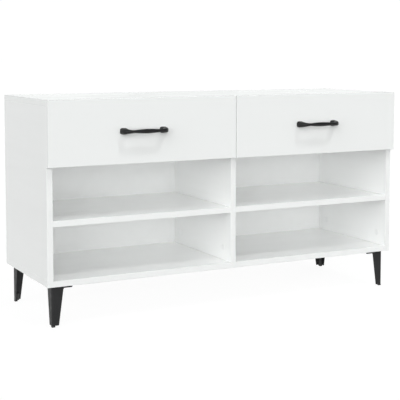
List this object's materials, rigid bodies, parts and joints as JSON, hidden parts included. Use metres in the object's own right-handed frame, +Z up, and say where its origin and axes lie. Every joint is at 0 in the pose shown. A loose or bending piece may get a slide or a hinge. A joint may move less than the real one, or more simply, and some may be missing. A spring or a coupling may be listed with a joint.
{
  "type": "entryway bench",
  "caption": "Low white entryway bench with side-by-side drawers over open shoe compartments, black bow handles and tapered black sheet-metal legs.",
  "frame": {"origin": "floor level under the centre of the bounding box", "axes": "+X along the width to the right as seen from the front, drawers and handles face -Y, +Z up"},
  "size_m": [1.02, 0.3816, 0.554],
  "materials": {
    "white_lacquer_board": "high-gloss white melamine-faced particle board with edge banding",
    "drawer_board": "satin white melamine-faced particle board",
    "hardboard": "satin white painted hardboard",
    "beech": "fluted raw beech",
    "black_leg_steel": "satin black powder coat",
    "black_cast_metal": "satin black lacquer over cast metal",
    "glide_plastic": "moulded black plastic",
    "runner_steel": "white epoxy coat",
    "roller_plastic": "moulded off-white plastic",
    "zinc_plated_steel": "bright zinc plate"
  },
  "bodies": {
    "carcass": {"top_panel": "white_lacquer_board", "bottom_panel": "white_lacquer_board", "left_side_panel": "white_lacquer_board", "right_side_panel": "white_lacquer_board", "divider_panel": "white_lacquer_board", "left_shelf": "white_lacquer_board", "right_shelf": "white_lacquer_board", "left_deck_panel": "white_lacquer_board", "right_deck_panel": "white_lacquer_board", "back_panel": "hardboard", "back_panel_nails": "zinc_plated_steel", "cam_locks": "zinc_plated_steel", "cam_bolts": "zinc_plated_steel", "dowels": "beech", "shelf_pins": "zinc_plated_steel", "front_left_leg": "black_leg_steel", "front_right_leg": "black_leg_steel", "rear_left_leg": "black_leg_steel", "rear_right_leg": "black_leg_steel", "leg_glides": "glide_plastic", "leg_screws": "zinc_plated_steel", "left_bay_left_runner": "runner_steel", "left_bay_right_runner": "runner_steel", "right_bay_left_runner": "runner_steel", "right_bay_right_runner": "runner_steel", "cabinet_runner_screws": "zinc_plated_steel"},
    "left_drawer": {"left_drawer_front": "white_lacquer_board", "left_drawer_left_side": "drawer_board", "left_drawer_right_side": "drawer_board", "left_drawer_back": "drawer_board", "left_drawer_bottom": "hardboard", "left_drawer_handle": "black_cast_metal", "left_drawer_handle_screws": "zinc_plated_steel", "left_drawer_left_runner": "runner_steel", "left_drawer_right_runner": "runner_steel", "left_drawer_runner_screws": "zinc_plated_steel", "left_drawer_cam_locks": "zinc_plated_steel", "left_drawer_cam_bolts": "zinc_plated_steel", "left_drawer_back_screws": "zinc_plated_steel"},
    "right_drawer": {"right_drawer_front": "white_lacquer_board", "right_drawer_left_side": "drawer_board", "right_drawer_right_side": "drawer_board", "right_drawer_back": "drawer_board", "right_drawer_bottom": "hardboard", "right_drawer_handle": "black_cast_metal", "right_drawer_handle_screws": "zinc_plated_steel", "right_drawer_left_runner": "runner_steel", "right_drawer_right_runner": "runner_steel", "right_drawer_runner_screws": "zinc_plated_steel", "right_drawer_cam_locks": "zinc_plated_steel", "right_drawer_cam_bolts": "zinc_plated_steel", "right_drawer_back_screws": "zinc_plated_steel"},
    "left_bay_left_roller": {"left_bay_left_roller": "roller_plastic"},
    "left_drawer_left_roller": {"left_drawer_left_roller": "roller_plastic"},
    "left_bay_right_roller": {"left_bay_right_roller": "roller_plastic"},
    "left_drawer_right_roller": {"left_drawer_right_roller": "roller_plastic"},
    "right_bay_left_roller": {"right_bay_left_roller": "roller_plastic"},
    "right_drawer_left_roller": {"right_drawer_left_roller": "roller_plastic"},
    "right_bay_right_roller": {"right_bay_right_roller": "roller_plastic"},
    "right_drawer_right_roller": {"right_drawer_right_roller": "roller_plastic"}
  },
  "joints": [
    {"name": "left_drawer_slide", "type": "slide", "parent": "carcass", "child": "left_drawer", "axis": [0, -1, 0], "range_m": [0, 0.225]},
    {"name": "right_drawer_slide", "type": "slide", "parent": "carcass", "child": "right_drawer", "axis": [0, -1, 0], "range_m": [0, 0.225]},
    {"name": "left_bay_left_roller_spin", "type": "hinge", "parent": "carcass", "child": "left_bay_left_roller", "pos_m": [-0.48845, -0.13025, 0.428], "axis": [1, 0, 0], "continuous": true},
    {"name": "left_drawer_left_roller_spin", "type": "hinge", "parent": "left_drawer", "child": "left_drawer_left_roller", "pos_m": [-0.48885, 0.14575, 0.428], "axis": [1, 0, 0], "continuous": true},
    {"name": "left_bay_right_roller_spin", "type": "hinge", "parent": "carcass", "child": "left_bay_right_roller", "pos_m": [-0.01405, -0.13025, 0.428], "axis": [1, 0, 0], "continuous": true},
    {"name": "left_drawer_right_roller_spin", "type": "hinge", "parent": "left_drawer", "child": "left_drawer_right_roller", "pos_m": [-0.01365, 0.14575, 0.428], "axis": [1, 0, 0], "continuous": true},
    {"name": "right_bay_left_roller_spin", "type": "hinge", "parent": "carcass", "child": "right_bay_left_roller", "pos_m": [0.01405, -0.13025, 0.428], "axis": [1, 0, 0], "continuous": true},
    {"name": "right_drawer_left_roller_spin", "type": "hinge", "parent": "right_drawer", "child": "right_drawer_left_roller", "pos_m": [0.01365, 0.14575, 0.428], "axis": [1, 0, 0], "continuous": true},
    {"name": "right_bay_right_roller_spin", "type": "hinge", "parent": "carcass", "child": "right_bay_right_roller", "pos_m": [0.48845, -0.13025, 0.428], "axis": [1, 0, 0], "continuous": true},
    {"name": "right_drawer_right_roller_spin", "type": "hinge", "parent": "right_drawer", "child": "right_drawer_right_roller", "pos_m": [0.48885, 0.14575, 0.428], "axis": [1, 0, 0], "continuous": true}
  ],
  "couplings": [
    {"joint": "left_bay_left_roller_spin", "follows": "left_drawer_slide", "rad_per_m": 117.65},
    {"joint": "left_drawer_left_roller_spin", "follows": "left_drawer_slide", "rad_per_m": 142.86},
    {"joint": "left_bay_right_roller_spin", "follows": "left_drawer_slide", "rad_per_m": 117.65},
    {"joint": "left_drawer_right_roller_spin", "follows": "left_drawer_slide", "rad_per_m": 142.86},
    {"joint": "right_bay_left_roller_spin", "follows": "right_drawer_slide", "rad_per_m": 117.65},
    {"joint": "right_drawer_left_roller_spin", "follows": "right_drawer_slide", "rad_per_m": 142.86},
    {"joint": "right_bay_right_roller_spin", "follows": "right_drawer_slide", "rad_per_m": 117.65},
    {"joint": "right_drawer_right_roller_spin", "follows": "right_drawer_slide", "rad_per_m": 142.86}
  ]
}
